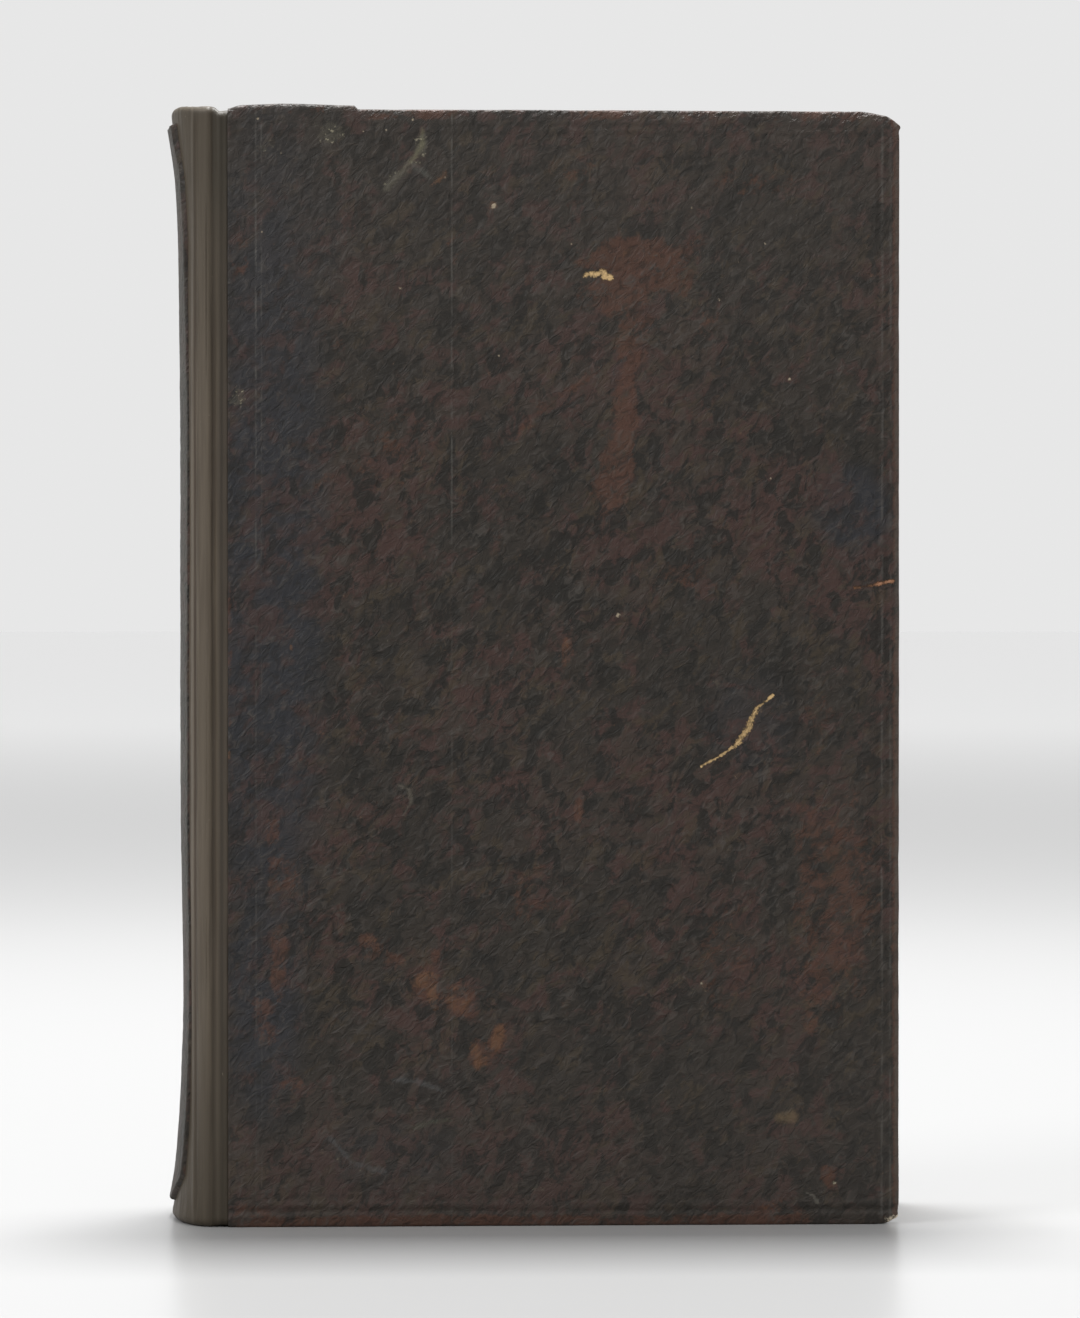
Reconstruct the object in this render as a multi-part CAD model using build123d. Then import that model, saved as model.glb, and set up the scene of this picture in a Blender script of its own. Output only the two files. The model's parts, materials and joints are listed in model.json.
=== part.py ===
from build123d import *
import os

# A rebacked, full-leather hardback book standing upright on its tail edge.
# +Z runs from tail to head, -X is the spine, -Y is the front cover. Millimetres.
# The origin is the middle of the bounding box's underside.

# Covers
cover_height = 200.0            # tail edge to head edge of each covered board
cover_reach = 123.0             # fold line of the joint to the fore-edge of each cover
board_thickness = 2.6
leather_thickness = 0.7         # old leather on the outside and edges of the boards
leather_edge_radius = 0.5
turn_in_width = 15.0            # leather folded over onto the inside of the board
turn_in_thickness = 0.4         # pared leather, let in flush with the board's inside
board_corner_radius = 2.5       # bumped fore-edge corners
leather_corner_radius = 2.0
board_setback = 1.0             # fold line to the spine edge of the board
old_leather_setback = 2.6       # fold line to the edge of the old leather

# Newer leather of the repair
joint_leather_thickness = 0.4   # pared wing on the board, under the old leather
joint_leather_reach = 23.0      # how far the wing runs under the old leather
fold_clearance = 0.2            # each side of the fold line

# Text block
block_thickness = 24.6
block_shoulder = 2.3            # how far each backed shoulder stands out from the block
block_shoulder_x = 0.3          # shoulder's face, past the fold line
fore_edge_hollow = 4.0          # depth of the concave fore-edge
square = 3.2                    # how far the boards stand past the block
paper_thickness = 0.2           # flyleaves and pastedowns
cover_clearance = 0.3           # between flyleaf and pastedown
flyleaf_setback = 0.6
pastedown_setback = 1.2
pastedown_margin = 3.0          # bare turn-in left round the pastedown

# Spine
spine_rounding = 6.5            # crown of the newer leather behind the fold line, at mid-height
spine_leather_thickness = 0.8
spine_drop = 0.4                # spine leather at the fold, below the face of the cover
lining_thickness = 0.5
cap_flare = 1.8                 # extra rounding where the caps swell at head and tail
cap_flare_height = 26.0
cap_rise = 0.6                  # head cap above the edge of the boards
cap_thickness = 1.2             # leather folded in over the endband
cap_depth = 3.6                 # how far the cap reaches in over the text block
panel_thickness = 0.8           # old spine leather laid on the newer
panel_half_width = 11.0
panel_tail_gap = 3.1            # newer leather left bare below the panel
panel_head_gap = 2.3

# Sewing
cord_count = 5
cord_size = 1.5
cord_end_gap = 22.0             # end of the block to the first cord
kerf_clearance = 0.05           # saw slot round each cord
band_height = 1.8
band_depth = 1.9
band_inset = 0.3                # endband behind the spine of the block
band_setback = 1.5              # fold line to the ends of the endband

# Construction
overshoot = 1.0                 # how far a cutting solid runs past the faces it cuts
envelope_end = 1.0              # straight sides of the spine envelope, past the fold line
# Where the flare of each cap is sectioned, as shares of its height from the end
flare_shares = (0.0, 0.2, 0.45, 0.7, 1.0)

# Worked out from the sizes above
block_half = block_thickness / 2
block_bottom = square
block_top = cover_height - square
flyleaf_face = block_half + paper_thickness
cover_inside = flyleaf_face + cover_clearance + paper_thickness
board_face = cover_inside + board_thickness
cover_face = board_face + leather_thickness
spine_half = cover_face - spine_drop
block_crown = spine_rounding - spine_leather_thickness - lining_thickness
block_spine_half = block_half + block_shoulder
lining_crown = block_crown + lining_thickness
lining_half = block_spine_half + lining_thickness
head_height = cover_height + cap_rise
fore_edge_x = cover_reach - square
overall_back = spine_rounding + cap_flare + panel_thickness


def slab(x0, x1, y0, y1, z0, z1):
    """A box between two corners."""
    size_x = x1 - x0
    size_y = y1 - y0
    size_z = z1 - z0
    return Pos((x0 + x1) / 2, (y0 + y1) / 2, (z0 + z1) / 2) * Box(size_x, size_y, size_z)


def spine_curve(crown, half):
    """Half an ellipse bulging towards -X, from +Y round to -Y."""
    return EllipticalCenterArc((0, 0), crown, half, start_angle=90, arc_size=180)


def half_ellipse(crown, half, end_x=block_shoulder_x):
    """Face bounded by the spine's curve, closed by a straight line at end_x."""
    back = spine_curve(crown, half)
    low = Line(back @ 1, (end_x, -half))
    close = Line(low @ 1, (end_x, half))
    high = Line(close @ 1, back @ 0)
    return make_face([back, low, close, high])


def prism(face, z0, z1):
    """The face's upright extrusion from z0 to z1."""
    return Pos(0, 0, z0) * extrude(face, z1 - z0, dir=(0, 0, 1))


def crown_at(z):
    """Rounding of the newer spine leather at height z: flared at both caps."""
    from_end = min(z, head_height - z)
    closeness = max(0.0, 1 - from_end / cap_flare_height)
    return spine_rounding + cap_flare * closeness ** 2


def spine_envelope(grow):
    """Solid inside the spine leather's outer surface, grown outwards by grow."""
    low = [cap_flare_height * share for share in flare_shares]
    heights = low + [head_height - z for z in reversed(low)]
    sections = []
    for z in heights:
        outline = half_ellipse(crown_at(z) + grow, spine_half + grow, end_x=envelope_end)
        sections.append(Pos(0, 0, z) * outline)
    return loft(sections, ruled=True)


def make_uncut_block():
    """All the leaves: rounded and shouldered at the spine, hollow at the fore-edge."""
    back = spine_curve(block_crown, block_spine_half)
    fore_low = (fore_edge_x, -block_half)
    fore_high = (fore_edge_x, block_half)
    step = Polyline(
        back @ 1, (block_shoulder_x, -block_spine_half), (block_shoulder_x, -block_half), fore_low
    )
    hollow = ThreePointArc(fore_low, (fore_edge_x - fore_edge_hollow, 0), fore_high)
    rise = Polyline(
        fore_high, (block_shoulder_x, block_half), (block_shoulder_x, block_spine_half), back @ 0
    )
    return prism(make_face([back, step, hollow, rise]), block_bottom, block_top)


def make_cord_rings(clearance):
    """Bands round the spine where the cords lie, with room for them, open to the outside."""
    depth = cord_size + clearance
    outside = half_ellipse(block_crown + depth, block_spine_half + depth, end_x=depth)
    ring = outside - half_ellipse(block_crown - depth, block_spine_half - depth, end_x=depth)
    first = block_bottom + cord_end_gap
    pitch = (block_top - block_bottom - 2 * cord_end_gap) / (cord_count - 1)
    rings = []
    for index in range(cord_count):
        middle = first + index * pitch
        reach = cord_size / 2 + clearance
        rings.append(prism(ring, middle - reach, middle + reach))
    return rings


def make_text_block():
    """The leaves with the slots for the sewing cords sawn in."""
    block = make_uncut_block()
    for kerf in make_cord_rings(kerf_clearance):
        block = block - kerf
    return block


def make_sewing_cords():
    """Recessed cords in the slots, flush with the spine of the block."""
    cords = [make_uncut_block() & ring for ring in make_cord_rings(0)]
    return Compound(children=cords)


def make_spine_lining():
    """Paper pasted over the spine of the block."""
    ring = half_ellipse(lining_crown, lining_half) - half_ellipse(block_crown, block_spine_half)
    return prism(ring, block_bottom, block_top)


def make_endband(z0):
    """Sewn band standing on the end of the block, just inside its spine."""
    outer_crown = block_crown - band_inset
    outer_half = block_spine_half - band_inset
    ring = half_ellipse(outer_crown, outer_half) - half_ellipse(
        outer_crown - band_depth, outer_half - band_depth
    )
    band = prism(ring, z0, z0 + band_height)
    return band & slab(-outer_crown, -band_setback, -outer_half, outer_half, z0, z0 + band_height)


def make_spine_leather():
    """Newer leather round the spine, folded in over both ends as caps."""
    open_end = envelope_end + overshoot
    outside_y = cover_face + overshoot
    above = head_height + overshoot
    inside = prism(
        half_ellipse(lining_crown, lining_half, end_x=open_end),
        cap_thickness,
        head_height - cap_thickness,
    )
    cap_hollow = prism(
        half_ellipse(lining_crown - cap_depth, lining_half - cap_depth, end_x=open_end),
        -overshoot,
        above,
    )
    fold_side = slab(-fold_clearance, open_end, -outside_y, outside_y, -overshoot, above)
    return spine_envelope(0) - inside - cap_hollow - fold_side


def make_old_spine_panel():
    """Worn old leather laid over the crown of the newer, short of both ends."""
    layer = spine_envelope(panel_thickness) - spine_envelope(0)
    keep = slab(
        -overall_back - overshoot,
        -overshoot,
        -panel_half_width,
        panel_half_width,
        panel_tail_gap,
        head_height - panel_head_gap,
    )
    return layer & keep


def round_fore_corners(block, radius):
    """Rounds a cover layer's two corners at the fore-edge."""
    corners = block.edges().filter_by(Axis.Y).group_by(Axis.X)[-1]
    return fillet(corners, radius)


def make_board():
    """Pasteboard, with room for the wing outside and the turn-ins inside."""
    end_x = cover_reach - leather_thickness
    z0 = leather_thickness
    z1 = cover_height - leather_thickness
    board = slab(board_setback, end_x, -board_face, -cover_inside, z0, z1)
    board = round_fore_corners(board, board_corner_radius)
    wing_room = slab(
        board_setback, joint_leather_reach, -board_face, -board_face + joint_leather_thickness, z0, z1
    )
    turn_in_face = -cover_inside - turn_in_thickness
    edge = slab(board_setback, end_x, turn_in_face, -cover_inside, z0, z1)
    middle = slab(
        board_setback,
        end_x - turn_in_width,
        turn_in_face,
        -cover_inside,
        z0 + turn_in_width,
        z1 - turn_in_width,
    )
    return board - wing_room - (edge - middle)


def make_joint_leather():
    """Wing of the newer leather: over the board's spine edge and under the old leather."""
    z0 = leather_thickness
    z1 = cover_height - leather_thickness
    inner = -board_face + joint_leather_thickness
    skin = slab(fold_clearance, joint_leather_reach, -board_face, inner, z0, z1)
    wrap = slab(fold_clearance, old_leather_setback, -board_face, -cover_inside, 0, cover_height)
    room = slab(0, old_leather_setback + overshoot, inner, 0, z0, z1)
    return skin + (wrap - room)


def make_cover_leather():
    """Old leather of one board, with its edges and turn-ins."""
    outside = slab(old_leather_setback, cover_reach, -cover_face, -cover_inside, 0, cover_height)
    outside = round_fore_corners(outside, leather_corner_radius)
    rim = outside.faces().sort_by(Axis.Y)[0].edges()
    outside = fillet(rim, leather_edge_radius)
    return outside - make_board() - make_joint_leather()


def make_pastedown():
    """Sheet pasted inside the cover over the turn-ins."""
    return slab(
        pastedown_setback,
        cover_reach - pastedown_margin,
        -cover_inside,
        -cover_inside + paper_thickness,
        pastedown_margin,
        cover_height - pastedown_margin,
    )


def make_flyleaf():
    """Free leaf lying against the text block."""
    return slab(flyleaf_setback, fore_edge_x, -flyleaf_face, -block_half, block_bottom, block_top)


def mirrored(piece):
    """The rear cover's copy of a front piece."""
    return mirror(piece, about=Plane.XZ)


pieces = {
    "front_board": make_board(),
    "front_joint_leather": make_joint_leather(),
    "front_cover_leather": make_cover_leather(),
    "front_pastedown": make_pastedown(),
    "front_flyleaf": make_flyleaf(),
    "text_block": make_text_block(),
    "sewing_cords": make_sewing_cords(),
    "spine_lining": make_spine_lining(),
    "head_band": make_endband(block_top),
    "tail_band": make_endband(block_bottom - band_height),
    "spine_leather": make_spine_leather(),
    "old_spine_panel": make_old_spine_panel(),
}
for side in ("board", "joint_leather", "cover_leather", "pastedown", "flyleaf"):
    pieces[f"rear_{side}"] = mirrored(pieces[f"front_{side}"])

back_x = min(piece.bounding_box().min.X for piece in pieces.values())
shift_x = -(back_x + cover_reach) / 2   # puts the origin under the middle of the book

os.makedirs("parts", exist_ok=True)
for name, piece in pieces.items():
    export_step(Pos(shift_x, 0, 0) * piece, f"parts/{name}.step")

print(f"fold line x {shift_x:.3f}, cover face y {cover_face:.3f}, head {head_height:.3f}")
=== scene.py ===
import functools
import json
import math
import bmesh
import bpy
import numpy as np
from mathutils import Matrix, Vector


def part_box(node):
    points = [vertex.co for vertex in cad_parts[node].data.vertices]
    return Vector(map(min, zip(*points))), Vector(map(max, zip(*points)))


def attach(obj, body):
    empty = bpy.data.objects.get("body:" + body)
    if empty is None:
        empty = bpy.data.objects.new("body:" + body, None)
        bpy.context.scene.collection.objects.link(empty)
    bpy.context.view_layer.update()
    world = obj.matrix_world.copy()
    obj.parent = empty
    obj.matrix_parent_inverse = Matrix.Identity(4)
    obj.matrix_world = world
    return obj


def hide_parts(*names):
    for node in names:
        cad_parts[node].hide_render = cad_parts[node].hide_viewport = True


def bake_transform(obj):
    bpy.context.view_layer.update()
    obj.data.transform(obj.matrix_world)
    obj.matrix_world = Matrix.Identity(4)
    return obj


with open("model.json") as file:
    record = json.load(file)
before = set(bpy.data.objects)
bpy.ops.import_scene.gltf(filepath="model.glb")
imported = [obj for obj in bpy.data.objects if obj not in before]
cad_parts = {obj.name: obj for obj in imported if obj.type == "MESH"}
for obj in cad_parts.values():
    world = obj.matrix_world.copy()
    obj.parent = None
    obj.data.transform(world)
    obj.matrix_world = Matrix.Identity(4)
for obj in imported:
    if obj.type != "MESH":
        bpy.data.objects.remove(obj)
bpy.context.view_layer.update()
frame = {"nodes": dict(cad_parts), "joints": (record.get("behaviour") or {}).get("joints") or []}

# An old full-leather book with a repaired spine, standing on its tail edge on a pale floor.
# Meshes are worked out in millimetres: x from the fold line of the joints towards the fore-edge,
# y out of the rear cover, z from tail to head. place() turns them into metres in the shared frame.

MM = 0.001
JOINTS = {joint["name"]: joint for joint in frame["joints"]}
FOLD_X = JOINTS["front_cover_hinge"]["pos_m"][0] / MM
FOLD = np.array([FOLD_X, 0.0, 0.0])


def cad_box_mm(node):
    """Lowest and highest corner of a CAD node, in millimetres from the fold line."""
    low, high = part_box(node)
    return np.array(low) / MM - FOLD, np.array(high) / MM - FOLD


COVER_LOW, COVER_HIGH = cad_box_mm("front_cover_leather")
BLOCK_LOW, BLOCK_HIGH = cad_box_mm("text_block")
PANEL_LOW, PANEL_HIGH = cad_box_mm("old_spine_panel")
PASTE_LOW, PASTE_HIGH = cad_box_mm("front_pastedown")
SPINE_HIGH = cad_box_mm("spine_leather")[1]

HEIGHT = COVER_HIGH[2]                  # of the boards
REACH = COVER_HIGH[0]                   # fold line to fore-edge
OLD_EDGE = COVER_LOW[0]                 # where the old leather starts
FACE = -COVER_LOW[1]                    # outside of the covers, from the middle of the book
COVER_THICK = COVER_HIGH[1] + FACE
SPINE_TOP = SPINE_HIGH[2]
SPINE_HALF = SPINE_HIGH[1]              # half the width of the spine at the fold


# ---- noise and curves

def at(x, y, z):
    """Points from their coordinates; a lone number counts for all of them."""
    return np.stack(np.broadcast_arrays(x, y, z), axis=-1)


def hashed(cells, seed):
    """A repeatable random number from 0 to 1 for each whole-number cell."""
    mixed = cells.astype(np.int64).astype(np.uint64)
    value = mixed[..., 0] * np.uint64(73856093) ^ mixed[..., 1] * np.uint64(19349663)
    value = value ^ mixed[..., 2] * np.uint64(83492791) ^ np.uint64(seed * 2654435761 + 1)
    value = (value ^ (value >> np.uint64(13))) * np.uint64(1274126177)
    value = (value ^ (value >> np.uint64(16))) & np.uint64(0xFFFFFF)
    return value.astype(float) / 0xFFFFFF


def noise(points, size, seed):
    """Smooth noise from -1 to 1 with features of about that size, which may differ by axis."""
    scaled = np.asarray(points, float) / size
    cell = np.floor(scaled)
    part = scaled - cell
    part = part * part * (3 - 2 * part)
    total = 0.0
    for corner in range(8):
        step = np.array([corner & 1, corner >> 1 & 1, corner >> 2 & 1])
        weight = np.prod(np.where(step, part, 1 - part), axis=-1)
        total = total + weight * hashed(cell + step, seed)
    return total * 2 - 1


def rough_noise(points, size, octaves, seed):
    """Several layers of noise, each half the size and about half the strength of the last."""
    total, strength, sum_of = 0.0, 1.0, 0.0
    for octave in range(octaves):
        total = total + strength * noise(points, np.asarray(size) / 2 ** octave, seed + octave * 17)
        sum_of += strength
        strength *= 0.55
    return total / sum_of


def ramp(value, low, high):
    """0 below low, 1 above high, smooth between."""
    share = np.clip((value - low) / (high - low), 0, 1)
    return share * share * (3 - 2 * share)


def bell(offset, width):
    """1 where the offset is nothing, falling away smoothly on both sides."""
    return np.exp(-(offset / width) ** 2)


# ---- meshes

def place(points):
    """Book millimetres to metres in the frame."""
    return (points + FOLD) * MM


def strip_faces(first, second):
    """Quads between two lines of point numbers."""
    return np.stack([first[:-1], first[1:], second[1:], second[:-1]], axis=-1)


def grid_faces(rows, columns, first=0, flip=False):
    """Quads of a grid of points stored row by row."""
    index = first + np.arange(rows * columns).reshape(rows, columns)
    quads = np.concatenate([strip_faces(low, high) for low, high in zip(index, index[1:])])
    return quads[:, ::-1] if flip else quads


def make_piece(name, points, faces, attributes=None, merge=0.0):
    """A smooth-shaded mesh object whose materials can read its resting place and attributes."""
    points = points.reshape(-1, 3)
    mesh = bpy.data.meshes.new(name)
    mesh.from_pydata(place(points).tolist(), [], faces.tolist() if isinstance(faces, np.ndarray) else faces)
    stored = mesh.attributes.new("rest", "FLOAT_VECTOR", "POINT")
    stored.data.foreach_set("vector", points.astype(np.float32).ravel())
    for key, values in (attributes or {}).items():
        layer = mesh.attributes.new(key, "FLOAT", "POINT")
        layer.data.foreach_set("value", np.asarray(values, np.float32).ravel())
    if merge:
        cleaner = bmesh.new()
        cleaner.from_mesh(mesh)
        bmesh.ops.remove_doubles(cleaner, verts=cleaner.verts, dist=merge * MM)
        cleaner.to_mesh(mesh)
        cleaner.free()
    mesh.shade_smooth()
    return link(bpy.data.objects.new(name, mesh))


def link(thing):
    """Put a new object in the scene."""
    bpy.context.scene.collection.objects.link(thing)
    return thing


def stations(low, high, fine, coarse, margin):
    """Places from low to high, closely spaced near both ends."""
    edge_count = max(1, round(margin / fine))
    middle_count = max(2, round((high - low - 2 * margin) / coarse))
    start = np.linspace(low, low + margin, edge_count + 1)[:-1]
    middle = np.linspace(low + margin, high - margin, middle_count + 1)
    end = np.linspace(high - margin, high, edge_count + 1)[1:]
    return np.concatenate([start, middle, end])


def unit(vectors):
    return vectors / np.linalg.norm(vectors, axis=-1, keepdims=True)


def grid_normals(grid):
    """Unit normals of a grid of points, from its own rows and columns."""
    return unit(np.cross(np.gradient(grid, axis=0), np.gradient(grid, axis=1)))


# ---- relief of the old leather

GRAIN_HEIGHT = 0.42
REAR_GRAIN_HEIGHT = 0.3
LINE_DEPTH = 0.2                        # of the blind border
STEP_X = 43.3                           # upright step in the front cover's leather
LIFTED_END = 25.5                       # end of the turn-in that lifts at the head, near the spine
RIDGES = ((0.55, (3.2, 1, 1.7), 5), (0.45, (1.9, 1, 1.2), 9))           # share, size, seed
BLIND_LINES_X = ((7.2, 0.28, 0.8), (8.1, 0.25, 0.6), (119.2, 0.32, 1.0), (120.8, 0.3, 0.7))
BLIND_LINES_Z = ((195.4, 0.35, 0.8), (197.0, 0.32, 0.9), (4.9, 0.32, 0.8), (2.8, 0.45, 1.0))

# Marks on the front cover, as lines of (x, z) points.
CRACK = (
    (100.2, 95.2), (99.2, 94.3), (97.4, 93.0), (96.1, 89.8),
    (94.8, 87.7), (93.3, 86.1), (90.3, 84.1), (87.4, 82.5),
)
CRACK_WIDE = ((97.3, 92.6), (96.1, 89.8), (94.8, 87.7), (93.5, 86.3))
CHIP = ((66.8, 170.5), (68.3, 170.8), (69.5, 171.2), (70.2, 170.2), (71.0, 169.9))
SCRATCH = ((115.0, 114.5), (118.3, 114.9), (121.9, 115.8))
SCRATCH_WIDE = ((118.6, 115.0), (121.7, 115.7))
BARE_CORNER = ((121.3, 0.7), (122.6, 0.9))


def from_edge(x, z):
    """Distance in from the nearest of a cover's head, tail and fore-edge."""
    return np.minimum(np.minimum(z, HEIGHT - z), REACH - x)


def slanted_ridges(x, z, lean, seed):
    """Ridges from 0 to 1 running at lean degrees from the x axis."""
    turn = math.radians(lean)
    along = x * math.cos(turn) + z * math.sin(turn)
    across = z * math.cos(turn) - x * math.sin(turn)
    bent = across + 0.7 * noise(at(x, 0, z), 2.6, seed + 3)
    total = 0.0
    for share, size, step in RIDGES:
        total = total + share * (1 - np.abs(noise(at(along, 0, bent), size, seed + step))) ** 2
    return total


def wrinkles(x, z, seed):
    """Height from 0 to 1 of the slanting grain, which stands steeper towards the spine."""
    share = ramp(45 - x + 12 * noise(at(x, 0, z), 22, seed), -15, 20)
    return slanted_ridges(x, z, 36, seed) * (1 - share) + slanted_ridges(x, z, 54, seed + 40) * share


def groove(distance, width):
    """Depth from 0 to 1 of a pressed line, with a faint raised lip each side."""
    near = distance / width
    return bell(near, 1) - 0.3 * bell(np.abs(near) - 2.0, 1)


def blind_lines(x, z):
    """The border pressed into the leather: each line as place, width and strength."""
    worn = 0.65 + 0.35 * noise(at(x, 0, z), 9, 31)
    sway = 0.12 * noise(at(x, 0, z), 30, 33)
    total = 0.0
    for lines, across in ((BLIND_LINES_X, x), (BLIND_LINES_Z, z)):
        for middle, width, strength in lines:
            total = total + strength * groove(across - middle - sway, width)
    return total * worn


def segment_distance(x, z, start, end):
    """Distance from each point to a straight stretch."""
    along = np.array(end, float) - np.array(start, float)
    offset_x, offset_z = x - start[0], z - start[1]
    share = np.clip((offset_x * along[0] + offset_z * along[1]) / (along @ along), 0, 1)
    return np.hypot(offset_x - share * along[0], offset_z - share * along[1])


def polyline_distance(x, z, line):
    return np.min([segment_distance(x, z, a, b) for a, b in zip(line, line[1:])], axis=0)


def front_relief(x, z):
    """How far the front cover's leather stands out, in millimetres."""
    here = at(x, 0, z)
    height = 0.1 * rough_noise(here, 28, 2, 3) + 0.05 * rough_noise(here, 7, 2, 5)
    flatter = (0.35 + 0.65 * ramp(from_edge(x, z), 0.5, 6)) * (0.35 + 0.65 * ramp(z, 8, 60))
    height = height + (wrinkles(x, z, 11) - 0.5) * GRAIN_HEIGHT * flatter
    height = height - LINE_DEPTH * blind_lines(x, z)
    height = height + 0.1 * ramp(STEP_X - x, -0.4, 0.4) * ramp(z, 110, 150)
    step_lines = groove(x - STEP_X + 0.5, 0.25) + groove(x - STEP_X - 0.2, 0.2)
    height = height - 0.14 * step_lines * ramp(z, 110, 140)
    height = height + 0.35 * ramp(LIFTED_END - x, -0.3, 0.5) * ramp(z, 193, 199.5)
    for line, depth, width in ((CRACK, 0.22, 0.4), (CHIP, 0.15, 0.7), (SCRATCH, 0.1, 0.4)):
        height = height - depth * bell(polyline_distance(x, z, line), width)
    return height


def rear_relief(x, z):
    """How far the rear cover's leather stands out, in millimetres."""
    here = at(x, 0, z)
    height = 0.12 * rough_noise(here, 30, 2, 103) + 0.05 * rough_noise(here, 7, 2, 105)
    return height + (wrinkles(x, z, 111) - 0.5) * REAR_GRAIN_HEIGHT - LINE_DEPTH * blind_lines(x, z)


def front_edge_shift(x, z, out_x, out_z):
    """How far the edge of the front cover is pushed outwards, seen from the front."""
    shift = 0.1 * rough_noise(at(x, 0, z), 6, 3, 41)
    lifted = ramp(x, OLD_EDGE - 0.5, 5.2) * (1 - ramp(x, LIFTED_END - 0.1, LIFTED_END + 0.4))
    shift = shift + np.where(out_z > 0.5, lifted * (0.62 + 0.3 * bell(x - 14, 8)), 0)
    shift = shift - 1.0 * ramp(x, 115.5, 122.5) * ramp(z, 190, 200) * np.clip(out_z, 0, 1)
    shift = shift - 0.35 * ramp(z, 195, 199) * ramp(x, 120, 122) * out_x
    shift = shift - 0.45 * ramp(x, 119, 122.5) * ramp(-z, -4, -0.5)
    nub = bell(z - 197.2, 0.5) + bell(z - 1.6, 0.5)
    return shift + 0.45 * nub * np.clip(out_x, 0, 1) * ramp(x, 121, 122)


def rear_edge_shift(x, z, out_x, out_z):
    """The same for the rear cover: uneven in every direction alike, its fore-edge corners bumped in."""
    corner = ramp(x, 117, 122.5) * (ramp(z, 194, 200) + ramp(-z, -6, 0))
    return 0.12 * rough_noise(at(x, 0, z), 6, 3, 141) - 0.5 * corner


# ---- stains of the old leather

# Stains on the front cover: (x, z, half width, half height, lean in degrees, strength)
RUST = (
    (76, 173.6, 11, 4.2, 3, 0.9), (73, 167.8, 8, 4.6, 14, 0.85), (82, 171, 6, 4.4, -20, 0.75),
    (75.2, 158.5, 3.4, 7.5, -4, 0.7), (73.8, 145, 2.4, 15, -3, 0.95), (71.9, 135, 3.4, 10, -8, 0.8),
    (66.4, 151.8, 5, 1, 34, 0.6), (57.2, 145.5, 8.2, 1, 50, 0.5), (62, 148.5, 6.5, 0.8, 40, 0.45),
    (86, 176, 3, 2, 30, 0.5), (89, 164, 3, 5, 0, 0.35), (66.5, 182, 4, 3, 0, 0.35),
    (62.9, 103.3, 1.3, 3.2, -8, 0.85), (65.4, 74.5, 0.9, 2.6, 0, 0.8), (111, 57, 8, 22, -6, 0.62),
    (106.5, 36.2, 1.8, 2.4, 10, 0.8), (114.2, 61.2, 2.2, 1.3, 0, 0.8), (110.4, 8.8, 1.5, 2.6, 18, 0.95),
    (99.8, 3.6, 5.5, 1.9, 0, 0.6), (107, 68, 3.6, 8, 8, 0.6), (27.8, 50.2, 3.2, 2.6, -50, 0.7),
    (32.7, 47.6, 2, 1.7, 0, 0.85), (39.5, 48.5, 1.1, 1.3, 0, 0.9), (38.6, 43.6, 3.8, 4.4, 10, 0.75),
    (44.2, 40.2, 3.2, 3.8, 15, 0.8), (50.8, 33.4, 1.8, 3.8, -15, 0.85), (47.6, 30.6, 2.8, 3, 40, 0.85),
    (10.5, 71.1, 1.8, 2.6, 0, 0.75), (12.4, 63.4, 3.8, 4.4, 20, 0.6), (11.8, 47.3, 1.8, 7.4, -2, 0.8),
    (8.4, 39.2, 2.4, 2.6, 0, 0.75), (10, 34.9, 2.8, 2.6, 0, 0.65), (14, 25.6, 2.6, 1.4, 0, 0.6),
    (20, 133.6, 2.6, 1.6, 20, 0.5), (2.9, 104, 0.5, 18, 0, 0.5), (20, 159, 3.2, 2.4, 0, 0.4),
    (97, 187, 8, 3.2, 0, 0.35), (64, 189, 5, 5, 0, 0.35), (86, 118, 6, 8, 20, 0.35), (32, 140, 7, 9, 0, 0.35),
    (92, 48, 6, 10, 0, 0.4), (56, 60, 9, 7, 0, 0.35), (6.5, 2.4, 4.2, 1.7, 0, 0.6), (4.5, 176, 2, 7, 0, 0.4),
    (29.5, 198.7, 3, 0.8, 0, 0.7), (43, 176, 1.6, 4, 0, 0.35), (108, 92, 3, 7, 0, 0.35),
)
ORANGE = (
    (28.4, 50.4, 2.4, 1.7, -50, 0.5), (38, 44.6, 3.4, 1.7, 8, 0.85), (39.4, 41.6, 1.3, 3.3, 0, 0.8),
    (44, 40.4, 2.4, 3.2, 15, 0.7), (50.8, 33.8, 1.3, 3.2, -15, 0.9), (47.9, 29.5, 2.2, 1.7, 40, 0.8),
    (46.4, 31.6, 1.3, 1.8, 30, 0.7), (62.9, 103.3, 0.8, 2.6, -8, 0.8), (14, 103.7, 0.5, 0.7, 0, 1),
    (2.9, 84.4, 0.5, 0.9, 0, 1), (99.2, 3.6, 2.4, 0.9, 0, 0.5), (50.1, 182.8, 0.85, 0.85, 0, 0.9),
    (11.8, 41.6, 1.2, 1.9, 0, 0.5), (65.4, 74.5, 0.5, 1.6, 0, 0.5), (110.3, 9, 0.9, 1.6, 18, 0.45),
    (106.4, 36.2, 0.9, 1.2, 10, 0.5), (77, 174, 5, 2.2, 0, 0.3), (40.9, 188, 1.3, 1.7, 0, 0.6),
    (95, 186, 0.8, 1.4, 20, 0.5),
)
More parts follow.
